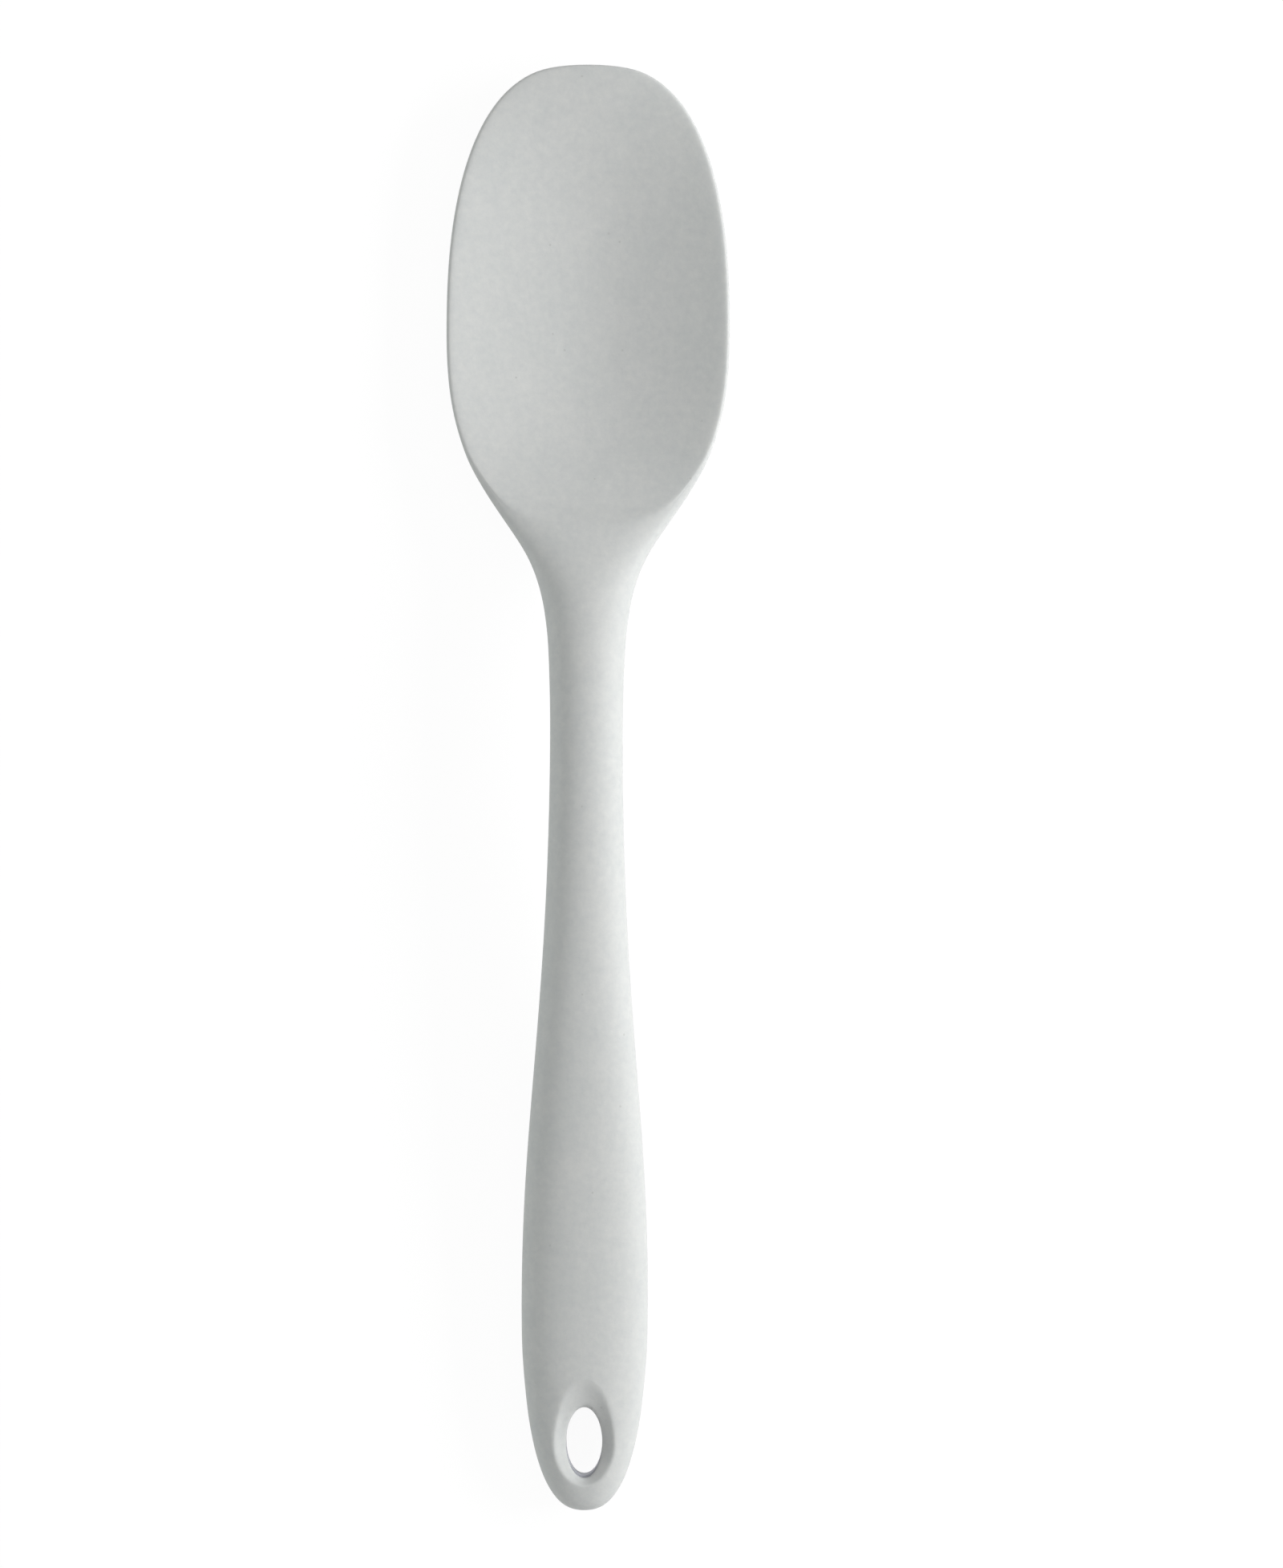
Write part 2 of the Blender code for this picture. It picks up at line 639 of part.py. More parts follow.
def make_silicone_body():
    silicone = new_material("silicone", (0.55, 0.56, 0.54), 0.55)
    body = silicone_blank(silicone)
    cavity = make_cutter(core_solid("cavity_cutter", CLEARANCE, None))
    cut(cavity, core_cutters("cavity_keys", CLEARANCE), "pockets_and_holes")
    cut(body, cavity, "core_cavity")
    cut(body, eye_cutter(), "hanging_eye")
    cut(body, table_cutter(), "rest_flat")
    return body


def clear_scene():
    for obj in list(bpy.data.objects):
        bpy.data.objects.remove(obj, do_unlink=True)


clear_scene()
make_core()
make_silicone_body()
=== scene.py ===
import math

import bmesh
import bpy
import numpy as np
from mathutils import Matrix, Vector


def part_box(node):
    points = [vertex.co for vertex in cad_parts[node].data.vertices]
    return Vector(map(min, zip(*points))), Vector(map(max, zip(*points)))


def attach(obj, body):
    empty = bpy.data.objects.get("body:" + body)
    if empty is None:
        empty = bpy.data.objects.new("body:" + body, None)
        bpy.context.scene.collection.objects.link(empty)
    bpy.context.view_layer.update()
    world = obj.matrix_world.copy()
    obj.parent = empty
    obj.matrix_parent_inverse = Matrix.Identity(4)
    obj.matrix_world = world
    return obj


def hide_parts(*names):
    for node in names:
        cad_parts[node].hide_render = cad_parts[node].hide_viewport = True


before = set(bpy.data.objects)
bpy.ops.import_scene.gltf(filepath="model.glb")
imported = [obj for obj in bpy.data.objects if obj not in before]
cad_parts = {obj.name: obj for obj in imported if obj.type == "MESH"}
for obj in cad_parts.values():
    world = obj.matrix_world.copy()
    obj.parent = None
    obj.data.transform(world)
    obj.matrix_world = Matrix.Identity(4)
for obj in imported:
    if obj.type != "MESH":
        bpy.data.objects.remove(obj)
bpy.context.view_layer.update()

# Silicone body
# The whole outside of the spoon is one skin of food-safe silicone, moulded in one shot over
# the stiff core. The bowl has a thin soft lip, the handle swells to the grip, and an eye goes
# through its end. It is modelled as a bowl, a handle tube and an end, bridged into one skin.
cad_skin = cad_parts["silicone_body"]
frame_low, frame_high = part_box("silicone_body")
tip_y, end_y = frame_high.y, frame_low.y
cad_points = np.array([v.co for v in cad_skin.data.vertices])
cad_edges = np.array([e.vertices for e in cad_skin.data.edges])
outline_margin = 0.0002  # the outline is read no nearer than this to the spoon's two ends
tiny = 1e-5

# The bowl's rim is an egg in plan
bowl_half = 0.02745
tip_reach = 0.0505  # widest place of the bowl to the tip
heel_reach = 0.0393  # widest place to where the bowl's egg closes
bowl_y = tip_y - tip_reach
tip_fullness, tip_side_fullness, egg_fullness = 2.29, 2.77, 2.5
rim_points = 40
smooth_back = -1 / 3  # puts the points out by what the rounding of the cage draws in


def side_edge(y):
    """Half width of the skin at y, and the height where it is widest, from the frame."""
    y = min(max(y, end_y + outline_margin), tip_y - outline_margin)
    a, b = cad_points[cad_edges[:, 0]], cad_points[cad_edges[:, 1]]
    crosses = (a[:, 1] > y) != (b[:, 1] > y)
    a, b = a[crosses], b[crosses]
    share = ((y - a[:, 1]) / (b[:, 1] - a[:, 1]))[:, None]
    cut = a + (b - a) * share
    widest = cut[cut[:, 0].argmax()]
    return float(widest[0]), float(widest[2])


def arch(across, fullness):
    """Height of a round arch: 1 in its middle and 0 at its foot."""
    return (1 - min(1, across) ** fullness) ** (1 / fullness)


def egg_half(y):
    """Half width of the bowl's egg, round the tip, and round the crest at its heel."""
    if y > bowl_y:
        along = min(1, (y - bowl_y) / tip_reach)
        return bowl_half * (1 - along**tip_fullness) ** (1 / tip_side_fullness)
    return bowl_half * arch((bowl_y - y) / heel_reach, egg_fullness)


def egg_reach(y):
    """Reach of the egg from its widest place, to the tip or to the heel."""
    return tip_reach if y > bowl_y else heel_reach


def bowl_share(co):
    """0 in the middle of the bowl, 1 on its outline, in plan."""
    across, along = abs(co.x) / bowl_half, abs(co.y - bowl_y) / egg_reach(co.y)
    return (across**egg_fullness + along**egg_fullness) ** (1 / egg_fullness)


def pick(wanted, mode="VERT"):
    """Selects, in edit mode, the points, or the faces by middle and normal, that are wanted."""
    bpy.ops.mesh.select_mode(type=mode)
    bpy.ops.mesh.select_all(action="DESELECT")
    mesh = bmesh.from_edit_mesh(bpy.context.edit_object.data)
    if mode == "VERT":
        for vert in mesh.verts:
            vert.select = wanted(vert.co)
    else:
        for face in mesh.faces:
            face.select = wanted(face.calc_center_median(), face.normal)
    mesh.select_flush_mode()
    bmesh.update_edit_mesh(bpy.context.edit_object.data)


def pick_open(wanted):
    """Selects, in edit mode, the open edges whose middle is wanted."""
    bpy.ops.mesh.select_mode(type="EDGE")
    bpy.ops.mesh.select_all(action="DESELECT")
    mesh = bmesh.from_edit_mesh(bpy.context.edit_object.data)
    for edge in mesh.edges:
        edge.select = edge.is_boundary and wanted((edge.verts[0].co + edge.verts[1].co) / 2)
    mesh.select_flush_mode()
    bmesh.update_edit_mesh(bpy.context.edit_object.data)


def picked():
    """The places of the selected points."""
    mesh = bmesh.from_edit_mesh(bpy.context.edit_object.data)
    return [vert.co.copy() for vert in mesh.verts if vert.select]


def rows_of(places):
    """The places along the spoon, each once."""
    return sorted({round(co.y, 6) for co in places})


def place(where):
    """Sets each selected point at where(its place)."""
    mesh = bmesh.from_edit_mesh(bpy.context.edit_object.data)
    for vert in mesh.verts:
        if vert.select:
            vert.co = where(vert.co)
    bmesh.update_edit_mesh(bpy.context.edit_object.data)


def scale(x=1, y=1, z=1, about=(0, 0, 0)):
    bpy.ops.transform.resize(value=(x, y, z), center_override=about)


def move(x=0, y=0, z=0):
    bpy.ops.transform.translate(value=(x, y, z))


bpy.ops.object.select_all(action="DESELECT")
bpy.ops.mesh.primitive_circle_add(
    vertices=rim_points, radius=bowl_half, fill_type="NGON", location=(0, bowl_y, 0)
)
body = bpy.context.object
body.name = "silicone_skin"
bpy.ops.object.transform_apply(location=True, rotation=True, scale=True)
bpy.ops.object.mode_set(mode="EDIT")

# Each pair of the rim's points goes out to the outline and up to the side view's lip line
pick(lambda co: co.y > bowl_y + tiny)
scale(y=tip_reach / bowl_half, about=(0, bowl_y, 0))
pick(lambda co: co.y < bowl_y - tiny)
scale(y=heel_reach / bowl_half, about=(0, bowl_y, 0))
pick(lambda co: True)
for y in rows_of(picked()):
    pick(lambda co: abs(co.y - y) < tiny)
    width = max(co.x for co in picked())
    if width > tiny:
        scale(x=egg_half(y) / width)
    move(z=side_edge(y)[1])
pick(lambda co: True)
bpy.ops.mesh.vertices_smooth(factor=smooth_back)

# The lip in three rings, which rise on the round crown of the neck at the heel
lip_radius, lip_rounding, lip_fullness = 0.0011, 0.0012, 2.2
lip_steps = (0.0002, 0.0002, 0.0003)  # the lip's rings, one inside the other
swell_y, round_y = tip_y - 0.079, tip_y - 0.104  # the upper face goes from lip to round crown
slim_y, grip_y = tip_y - 0.1264, tip_y - 0.2382  # slimmest and widest places of the handle
neck_half_thick, grip_half_thick = 0.0051, 0.0063
neck_fullness, grip_fullness, end_fullness = 1.95, 2.2, 2.6
soon_square = 1.1  # the grip's section is reached a little before the grip


def ease(share):
    """A share of the way that starts and stops softly."""
    share = min(1, max(0, share))
    return share * share * (3 - 2 * share)


def blend(a, b, share):
    return a + (b - a) * share


def half_thick(y):
    """Half the thickness of the handle: it swells to the grip and closes at the end."""
    swell = blend(neck_half_thick, grip_half_thick, ease((slim_y - y) / (slim_y - grip_y)))
    return swell * arch(max(0, (grip_y - y) / (grip_y - end_y)), end_fullness)


def section_fullness(y):
    """How square the handle's section is: a round neck, and flatter faces at the grip."""
    along = (slim_y - y) / (slim_y - grip_y)
    return blend(neck_fullness, grip_fullness, ease(along * soon_square))


def crown(x, y):
    """Rise of the upper face over the side edge: a rounded lip, then the round handle."""
    half = side_edge(y)[0]
    roundness = ease((swell_y - y) / (swell_y - round_y))
    inward = max(0, half - abs(x)) / blend(lip_rounding, half, math.sqrt(roundness))
    rise = blend(lip_radius, half_thick(y), roundness)
    return rise * arch(1 - min(1, inward), section_fullness(y))


def lip_or_crown(lip_rise, x, y):
    """The lip's rise over the side edge, or the crown's where the lip runs up on it."""
    return max(lip_rise, crown(x, y) if y < swell_y else 0)


def settle(rise):
    """Sets each selected point at rise(x, y) over the height of the side edge."""
    place(lambda co: (co.x, co.y, side_edge(co.y)[1] + rise(co.x, co.y)))


inward = 0
for step in lip_steps:
    inward += step
    lip_rise = lip_radius * arch(1 - inward / lip_rounding, lip_fullness)
    bpy.ops.mesh.inset(thickness=step, use_even_offset=True)
    settle(lambda x, y: lip_or_crown(lip_rise, x, y))

# The scoop, ring by ring down to its middle
scoop_depth, scoop_curve, scoop_middle = 0.0050, 1.8, 0.15
scoop_run = 3.7  # the higher, the longer the scoop keeps its depth towards its ends
scoop_rings = (0.96, 0.89, 0.79, 0.67, 0.53, 0.38, 0.22)
ring_gap = 0.01  # less than what lies between two rings


def scoop_curve_at(x):
    """The scoop's curve across: 0 in its middle, soon sloped beside it, and 1 at the lip."""
    middle = scoop_middle**scoop_curve
    rise = ((x / bowl_half) ** 2 + scoop_middle**2) ** (scoop_curve / 2) - middle
    return rise / ((1 + scoop_middle**2) ** (scoop_curve / 2) - middle)


def scoop(co):
    """The place in the scoop: one curve across, carried along it, and flatter at its ends."""
    depth = scoop_depth * (1 - min(1, abs(co.y - bowl_y) / egg_reach(co.y)) ** scoop_run)
    half = max(egg_half(co.y), sum(lip_steps))
    drop = depth * (scoop_curve_at(half - sum(lip_steps)) - scoop_curve_at(co.x))
    rise = lip_or_crown(lip_radius, half, co.y)
    return co.x, co.y, side_edge(co.y)[1] + rise - max(0, drop)


before = 1.0
for ring in scoop_rings:
    bpy.ops.mesh.extrude_region()
    scale(ring / before, ring / before, about=(0, bowl_y, 0))
    place(scoop)
    before = ring
bpy.ops.mesh.delete(type="ONLY_FACE")
pick_open(lambda co: bowl_share(co) < scoop_rings[-2])
bpy.ops.mesh.fill_grid(span=rim_points // 4)
pick(lambda co: bowl_share(co) < scoop_rings[-1] - ring_gap)
place(scoop)

# The belly, ring by ring from the rim down to the flat that the bowl rests on
belly_floor = -0.0004  # a little under the table, where the belly's flat is cut at the end
belly_roundness = 0.8
belly_root = 0.66  # the ring that the underside of the handle grows out of
belly_rings = (0.96, 0.84, belly_root, 0.5, 0.33, 0.18)
pick_open(lambda co: True)
before, before_rise = 1.0, 1.0
for ring in belly_rings:
    rise = 1 - (1 - ring**2) ** belly_roundness
    bpy.ops.mesh.extrude_region()
    step = ring / before
    scale(step, step, rise / before_rise, about=(0, bowl_y, belly_floor))
    before, before_rise = ring, rise
bpy.ops.mesh.fill_grid(span=rim_points // 4)
pick(lambda co: True)
bpy.ops.mesh.normals_make_consistent(inside=False)

# The heel opens for the handle
heel_points = 6  # rim points on each side of the heel's middle that the handle takes
heel_turn = math.radians(360 / rim_points * heel_points)
heel_along = math.cos(heel_turn)
heel_across = egg_half(bowl_y - heel_reach * heel_along) / bowl_half
crest_share = 0.967  # the faces between the rim and the scoop's first ring lie past this


def in_heel(co, normal):
    """Whether a face lies where the handle grows out of the heel."""
    behind = (bowl_y - co.y) / heel_reach
    inside = abs(co.x) / bowl_half * heel_along < behind * heel_across
    outer = bowl_share(co) > (crest_share if normal.z > 0 else belly_root)
    return behind > 0 and inside and outer


pick(in_heel, "FACE")
bpy.ops.mesh.delete(type="FACE")

# The handle: a round tube drawn along the spoon, each ring laid on the faces of the handle
neck_y, tube_end_y = tip_y - 0.112, tip_y - 0.247
tube_points, tube_rings = 36, 12


def underside(x, y):
    """Drop of the handle's underside below the side edge."""
    half, edge = side_edge(y)
    drop = half_thick(y)
    if y > slim_y:
        drop = edge - cad_skin.ray_cast((0, y, -0.1), (0, 0, 1))[1].z
    return drop * arch(abs(x) / half, section_fullness(y))


def drape(co):
    """The place on the handle's upper face, or on its underside."""
    edge = side_edge(co.y)[1]
    rise = crown(co.x, co.y) if co.z > edge - tiny else -underside(co.x, co.y)
    return co.x, co.y, edge + rise


def fit_section(y):
    """Brings the selected ring to y and to the section of the handle there."""
    half, edge = side_edge(y)
    side = max(picked(), key=lambda co: co.x)
    scale(x=half / side.x)
    move(y=y - side.y, z=edge - side.z)
    place(drape)


neck_half, neck_edge = side_edge(neck_y)
bpy.ops.mesh.select_mode(type="EDGE")
bpy.ops.mesh.primitive_circle_add(
    vertices=tube_points,
    radius=neck_half,
    location=(0, neck_y, neck_edge),
    rotation=(math.pi / 2, 0, 0),
)
fit_section(neck_y)
for y in list(np.linspace(neck_y, grip_y, tube_rings))[1:] + [tube_end_y]:
    bpy.ops.mesh.extrude_region()
    fit_section(y)

# The shoulders are bridged while both loops are straightened to one width and one thickness,
# so that the new rings follow the outline when they are brought back
straight_half = 0.01  # half the width, and half the thickness, while they are straight
shoulder_cuts = 10


def middle_thick(y, above):
    """Thickness on the middle line, from the side edge up or down."""
    return crown(0, y) if above else underside(0, y)


def straighten(co):
    half, edge = side_edge(co.y)
    thick = middle_thick(co.y, co.z > edge)
    return co.x / half * straight_half, co.y, (co.z - edge) / thick * straight_half


def bring_back(co):
    half, edge = side_edge(co.y)
    thick = middle_thick(co.y, co.z > 0)
    return co.x * half / straight_half, co.y, edge + co.z * thick / straight_half


def bridge(cuts):
    """Bridges the two selected loops, and lays the new rings on the upper face."""
    bpy.ops.mesh.hide(unselected=True)
    place(straighten)
    bpy.ops.mesh.bridge_edge_loops(number_cuts=cuts, interpolation="LINEAR")
    bpy.ops.mesh.select_all(action="SELECT")
    place(bring_back)
    mesh = bmesh.from_edit_mesh(bpy.context.edit_object.data)
    for vert in mesh.verts:
        new = not vert.hide and not any(edge.hide for edge in vert.link_edges)
        vert.select = new and vert.co.z > side_edge(vert.co.y)[1] + tiny
    place(drape)
    bpy.ops.mesh.reveal(select=False)


pick_open(lambda co: co.y > neck_y - tiny)
bridge(shoulder_cuts)

# The end: rings round the eye, on both faces, from the outline in to the edge of its dish
eye_y = end_y + 0.0137
end_half, end_up, end_down = 0.0102, 0.019, 0.0137
end_rings = (0.94, 0.82, 0.67)
corner_y = eye_y + end_up / 2  # where the end's outline passes into the handle's


def picked_points():
    """The numbers of the selected points."""
    mesh = bmesh.from_edit_mesh(bpy.context.edit_object.data)
    mesh.verts.index_update()
    return {vert.index for vert in mesh.verts if vert.select}


def only(points):
    """Keeps just these points selected."""
    mesh = bmesh.from_edit_mesh(bpy.context.edit_object.data)
    mesh.verts.index_update()
    for vert in mesh.verts:
        vert.select = vert.select and vert.index in points
    mesh.select_flush(False)
    bmesh.update_edit_mesh(bpy.context.edit_object.data)


def stretch(half, up, down):
    """Brings the selected ring round the eye to these reaches, across, up and down."""
    ring, places = picked_points(), picked()
    scale(x=half / max(co.x for co in places))
    for reach, side in ((up, 1), (down, -1)):
        pick(lambda co: (co.y - eye_y) * side > tiny)
        only(ring)
        scale(y=reach / max(abs(co.y - eye_y) for co in picked()), about=(0, eye_y, 0))
    pick(lambda co: True)
    only(ring)


bpy.ops.mesh.select_mode(type="VERT")
bpy.ops.mesh.primitive_circle_add(
    vertices=tube_points, radius=end_half, location=(0, eye_y, 0)
)
stretch(end_half, end_up, end_down)
for y in rows_of(picked()):
    if y < corner_y + tiny:
        pick(lambda co: abs(co.y - y) < tiny)
        width = max(co.x for co in picked())
        if width > tiny:
            scale(x=side_edge(y)[0] / width)
pick(lambda co: co.y < tube_end_y - tiny)
outline_ring = picked_points()
pick(lambda co: co.y < corner_y - tiny)
bpy.ops.mesh.vertices_smooth(factor=smooth_back)
pick(lambda co: True)
only(outline_ring)
settle(lambda x, y: 0)
for side in (1, -1):
    pick(lambda co: True)
    only(outline_ring)
    before = 1.0
    for ring in end_rings:
        bpy.ops.mesh.extrude_region()
        scale(ring / before, ring / before, 1, about=(0, eye_y, 0))
        settle(lambda x, y: side * crown(x, y))
        before = ring

# The dish and the eye: one ring drawn in, through the handle and out again
eye_half, eye_reach = 0.00347, 0.00672
eye_flare = 0.0003  # the eye opens a little above and below the core's band
band_half, band_groove = 0.0023, 0.001  # the skin lies behind the core's band in the eye's wall
dish_half, dish_up, dish_down = 0.0060, 0.0127, 0.0085
dish_drop, dish_end_share, dish_fade = 0.0019, 0.6, 1.5
# Each ring's place, from 1 at the dish's edge to 0 at the eye, and its share of the depth
dish_rings = ((1.0, 0.0), (0.8, 0.17), (0.5, 0.62), (0.2, 0.98), (0.0, 1.2))


def dish_depth(y):
    """Depth of the dish at y: the full depth beside the eye, and less towards its ends."""
    along = (y - eye_y) / (dish_up if y > eye_y else dish_down)
    return dish_drop * blend(1, dish_end_share, ease(abs(along) * dish_fade))


def dish_ring(share, drop, side):
    """Brings the selected ring to its place in the dish, on the upper face or the lower."""
    half, reach = blend(eye_half, dish_half, share), eye_reach + eye_flare
    stretch(half, blend(reach, dish_up, share), blend(reach, dish_down, share))
    settle(lambda x, y: side * (crown(x, y) - drop * dish_depth(y)))


bpy.ops.mesh.primitive_circle_add(
    vertices=tube_points, radius=dish_half, location=(0, eye_y, 0)
)
dish_ring(*dish_rings[0], 1)
for share, drop in dish_rings[1:]:
    bpy.ops.mesh.extrude_region()
    dish_ring(share, drop, 1)
for level, groove in ((1, 0), (1, band_groove), (-1, band_groove), (-1, 0)):
    bpy.ops.mesh.extrude_region()
    stretch(eye_half + groove, eye_reach + groove, eye_reach + groove)
    settle(lambda x, y: level * band_half)
for share, drop in dish_rings[::-1]:
    bpy.ops.mesh.extrude_region()
    dish_ring(share, drop, -1)
for side in (1, -1):
    pick_open(
        lambda co: co.y < tube_end_y - tiny and (co.z - side_edge(co.y)[1]) * side > tiny
    )
    bpy.ops.mesh.bridge_edge_loops()

# The end opens upwards and is bridged to the tube
end_cuts = 2
corner_slope = side_edge(corner_y)[0] / (corner_y - eye_y)


def in_end_opening(co, normal):
    """Whether a face of the end lies where the tube comes in."""
    across, up = abs(co.x) / end_half, co.y - eye_y
    outside = across**2 + (up / end_up) ** 2 > (end_rings[-1] + ring_gap) ** 2
    return co.y < tube_end_y - tiny and abs(co.x) < up * corner_slope and outside


pick(in_end_opening, "FACE")
bpy.ops.mesh.delete(type="FACE")
pick_open(lambda co: True)
bridge(end_cuts)
bpy.ops.mesh.select_all(action="SELECT")
bpy.ops.mesh.normals_make_consistent(inside=False)
bpy.ops.object.mode_set(mode="OBJECT")

# The cage is rounded, its flat is cut at the table, and it fills the frame's box
inside_box = 0.99998  # of the frame's box, so that the skin never stands out of it
rounding = body.modifiers.new("Rounding", "SUBSURF")
rounding.levels = 2
rounding.render_levels = 2
bpy.ops.object.modifier_apply(modifier=rounding.name)
bpy.ops.object.mode_set(mode="EDIT")
pick(lambda co: co.z < 0)
scale(z=0)
pick(lambda co: True)
places = picked()
spans = [max(co[axis] for co in places) - min(co[axis] for co in places) for axis in range(3)]
box = frame_high - frame_low
scale(*(box[axis] * inside_box / spans[axis] for axis in range(3)))
highest_y, lowest_y = max(co.y for co in picked()), min(co.y for co in picked())
move(y=(tip_y + end_y - highest_y - lowest_y) / 2)
bpy.ops.object.mode_set(mode="OBJECT")
bpy.ops.object.shade_smooth()


def pattern(tree, kind, **settings):
    """A pattern node that reads the piece's own places."""
    coords = tree.nodes.get("Texture Coordinate") or tree.nodes.new("ShaderNodeTexCoord")
    node = tree.nodes.new(kind)
    for name, value in settings.items():
        node.inputs[name].default_value = value
    tree.links.new(coords.outputs["Object"], node.inputs["Vector"])
    return node


def ramp(tree, factor, low, low_color, high, high_color):
    """A colour that goes from low_color to high_color between two values of the factor."""
    node = tree.nodes.new("ShaderNodeValToRGB")
    ends = node.color_ramp.elements
    ends[0].position, ends[0].color = low, (*low_color, 1)
    ends[1].position, ends[1].color = high, (*high_color, 1)
    tree.links.new(factor, node.inputs["Fac"])
    return node.outputs["Color"]


def between(tree, factor, low, high):
    """A number that goes from low to high with the factor."""
    node = tree.nodes.new("ShaderNodeMapRange")
    node.inputs["To Min"].default_value, node.inputs["To Max"].default_value = low, high
    tree.links.new(factor, node.inputs["Value"])
    return node.outputs["Result"]


def silicone_material():
    """Matte silicone: faint mottling, a velvety grain and a few darker specks."""
    material = bpy.data.materials.new("silicone")
    material.use_nodes = True
    tree = material.node_tree
    nodes, links = tree.nodes, tree.links
    shader = nodes["Principled BSDF"]

    cloud = pattern(tree, "ShaderNodeTexNoise", Scale=90, Detail=6, Roughness=0.85)
    tone = ramp(
        tree, cloud.outputs["Fac"], 0.25, (0.538, 0.556, 0.550), 0.75, (0.594, 0.602, 0.592)
    )
    powder = pattern(tree, "ShaderNodeTexNoise", Scale=700, Detail=4, Roughness=0.7)
    bloom = ramp(
        tree, powder.outputs["Fac"], 0.3, (0.93, 0.935, 0.943), 0.7, (1.02, 1.018, 1.008)
    )
    powdered = nodes.new("ShaderNodeMix")
    powdered.data_type = "RGBA"
    powdered.blend_type = "MULTIPLY"
    powdered.inputs["Factor"].default_value = 1
    links.new(tone, powdered.inputs["A"])
    links.new(bloom, powdered.inputs["B"])

    dust = pattern(tree, "ShaderNodeTexVoronoi", Scale=190)
    specks = ramp(tree, dust.outputs["Distance"], 0.028, (1, 1, 1), 0.055, (0, 0, 0))
    specked = nodes.new("ShaderNodeMix")
    specked.data_type = "RGBA"
    specked.inputs["B"].default_value = (0.47, 0.48, 0.47, 1)
    links.new(specks, specked.inputs["Factor"])
    links.new(powdered.outputs["Result"], specked.inputs["A"])
    links.new(specked.outputs["Result"], shader.inputs["Base Color"])

    patches = pattern(tree, "ShaderNodeTexNoise", Scale=140, Detail=4)
    links.new(between(tree, patches.outputs["Fac"], 0.56, 0.70), shader.inputs["Roughness"])

    grain = pattern(tree, "ShaderNodeTexNoise", Scale=2400, Detail=3)
    bump = nodes.new("ShaderNodeBump")
    bump.inputs["Strength"].default_value = 0.12
    bump.inputs["Distance"].default_value = 0.0001
    links.new(grain.outputs["Fac"], bump.inputs["Height"])
    links.new(bump.outputs["Normal"], shader.inputs["Normal"])

    shader.inputs["Specular IOR Level"].default_value = 0.35
    shader.inputs["Sheen Weight"].default_value = 0.06
    shader.inputs["Sheen Roughness"].default_value = 0.4
    shader.inputs["Subsurface Weight"].default_value = 0.12
    shader.inputs["Subsurface Radius"].default_value = (0.0016, 0.0015, 0.0014)
    shader.inputs["Subsurface Scale"].default_value = 1.0
    return material


body.data.materials.append(silicone_material())
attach(body, "root")
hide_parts("silicone_body")

# Core
# A stiff core of glass-filled nylon, moulded first and held in the silicone's mould by a pin
# through the eye. Only its edge shows, as a smooth cool grey band in the eye's wall.
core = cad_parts["core"]


def nylon_material():
    """Satin glass-filled nylon, with the faint flow marks of its moulding."""
    material = bpy.data.materials.new("nylon")
    material.use_nodes = True
    tree = material.node_tree
    shader = tree.nodes["Principled BSDF"]
    flow = pattern(tree, "ShaderNodeTexNoise", Scale=300, Detail=4).outputs["Fac"]
    tone = ramp(tree, flow, 0.3, (0.47, 0.48, 0.53), 0.7, (0.52, 0.53, 0.58))
    tree.links.new(tone, shader.inputs["Base Color"])
    tree.links.new(between(tree, flow, 0.38, 0.52), shader.inputs["Roughness"])
    return material


core.data.materials[0] = nylon_material()

# Floor
# A plain pale table top that the spoon lies on. The camera and the reflections see it almost
# white, and it keeps the soft shadow.
floor_gray, white_glow, white_share = 0.87, 1.04, 0.9


def seen_rays(tree):
    """1 for what the camera sees, itself or in a reflection, and 0 for the light."""
    path = tree.nodes.new("ShaderNodeLightPath")
    seen = tree.nodes.new("ShaderNodeMath")
    seen.operation = "MAXIMUM"
    tree.links.new(path.outputs["Is Camera Ray"], seen.inputs[0])
    tree.links.new(path.outputs["Is Glossy Ray"], seen.inputs[1])
    return seen.outputs["Value"]


bpy.ops.mesh.primitive_plane_add(size=6, location=(0, 0, 0))
floor = bpy.context.object
floor.name = "floor"
floor_material = bpy.data.materials.new("floor")
floor_material.use_nodes = True
tree = floor_material.node_tree
nodes, links = tree.nodes, tree.links
nodes.remove(nodes["Principled BSDF"])
pale = nodes.new("ShaderNodeBsdfDiffuse")
pale.inputs["Color"].default_value = (floor_gray, floor_gray, floor_gray, 1)
glow = nodes.new("ShaderNodeEmission")
glow.inputs["Color"].default_value = (1, 1, 1, 1)
glow.inputs["Strength"].default_value = white_glow
whiteness = nodes.new("ShaderNodeMath")
whiteness.operation = "MULTIPLY"
whiteness.inputs[1].default_value = white_share
mix = nodes.new("ShaderNodeMixShader")
links.new(seen_rays(tree), whiteness.inputs[0])
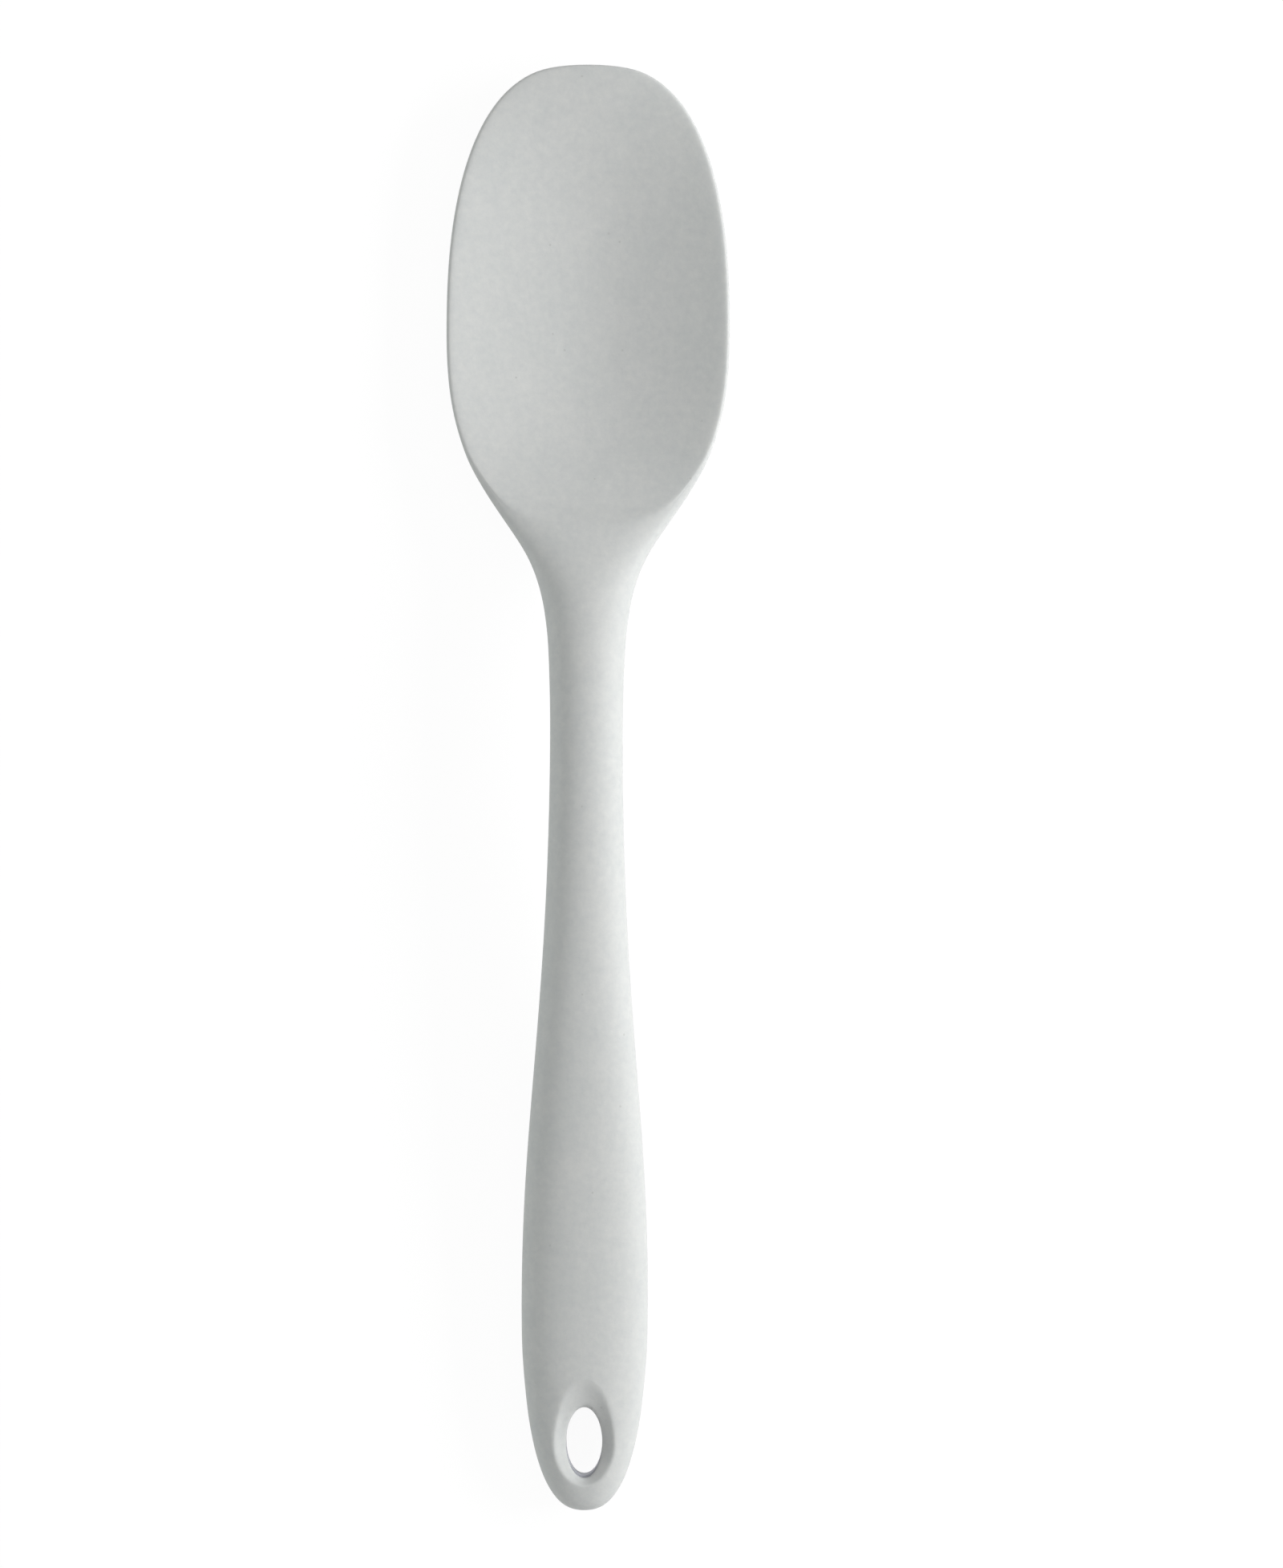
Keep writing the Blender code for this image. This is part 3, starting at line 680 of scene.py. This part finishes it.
links.new(whiteness.outputs["Value"], mix.inputs["Fac"])
links.new(pale.outputs["BSDF"], mix.inputs[1])
links.new(glow.outputs["Emission"], mix.inputs[2])
links.new(mix.outputs["Shader"], nodes["Material Output"].inputs["Surface"])
floor.data.materials.append(floor_material)

# Light
# A white room all round, one long soft light on the right, and two weak low ones: on the
# left, and to the right of the handle's end.
room_light, room_seen = 0.53, 1
world = bpy.data.worlds.new("room")
bpy.context.scene.world = world
world.use_nodes = True
tree = world.node_tree
background = tree.nodes["Background"]
background.inputs["Color"].default_value = (1, 1, 1, 1)
tree.links.new(between(tree, seen_rays(tree), room_light, room_seen), background.inputs["Strength"])


def soft_light(name, turn, along, distance, elevation, size, energy, color=(1, 1, 1)):
    """A long soft light, turned to the middle line: 0 is from the right, 180 from the left."""
    turn, elevation = math.radians(turn), math.radians(elevation)
    reach = distance * math.cos(elevation)
    bpy.ops.object.light_add(
        type="AREA",
        location=(
            reach * math.cos(turn),
            along + reach * math.sin(turn),
            distance * math.sin(elevation),
        ),
        rotation=(0, math.pi / 2 - elevation, turn),
    )
    light = bpy.context.object
    light.name = name
    light.visible_camera = False
    light.data.shape = "RECTANGLE"
    light.data.size, light.data.size_y = size
    light.data.energy = energy
    light.data.color = color


soft_light("right_light", 0, 0.1, 0.8, 27, (0.24, 0.6), 6.0)
soft_light("left_light", 180, 0.06, 1.2, 3.5, (0.11, 0.9), 2.0, (0.88, 1.0, 0.94))
soft_light("end_light", -50, -0.1, 1.2, 12, (0.2, 0.5), 0.9)

# Camera
# Straight down over the spoon from a long way off, a little to the right of its middle and
# turned a fifth of a degree, so that the spoon lies in the frame as in the photograph.
camera_place, camera_turn = (0.01064, 0.00086, 1.2), 0.2036
bpy.ops.object.camera_add(location=camera_place, rotation=(0, 0, math.radians(camera_turn)))
camera = bpy.context.object
camera.data.lens = 141.4
camera.data.sensor_width = 36
camera.data.clip_end = 20
scene = bpy.context.scene
scene.camera = camera
scene.view_settings.view_transform = "Standard"
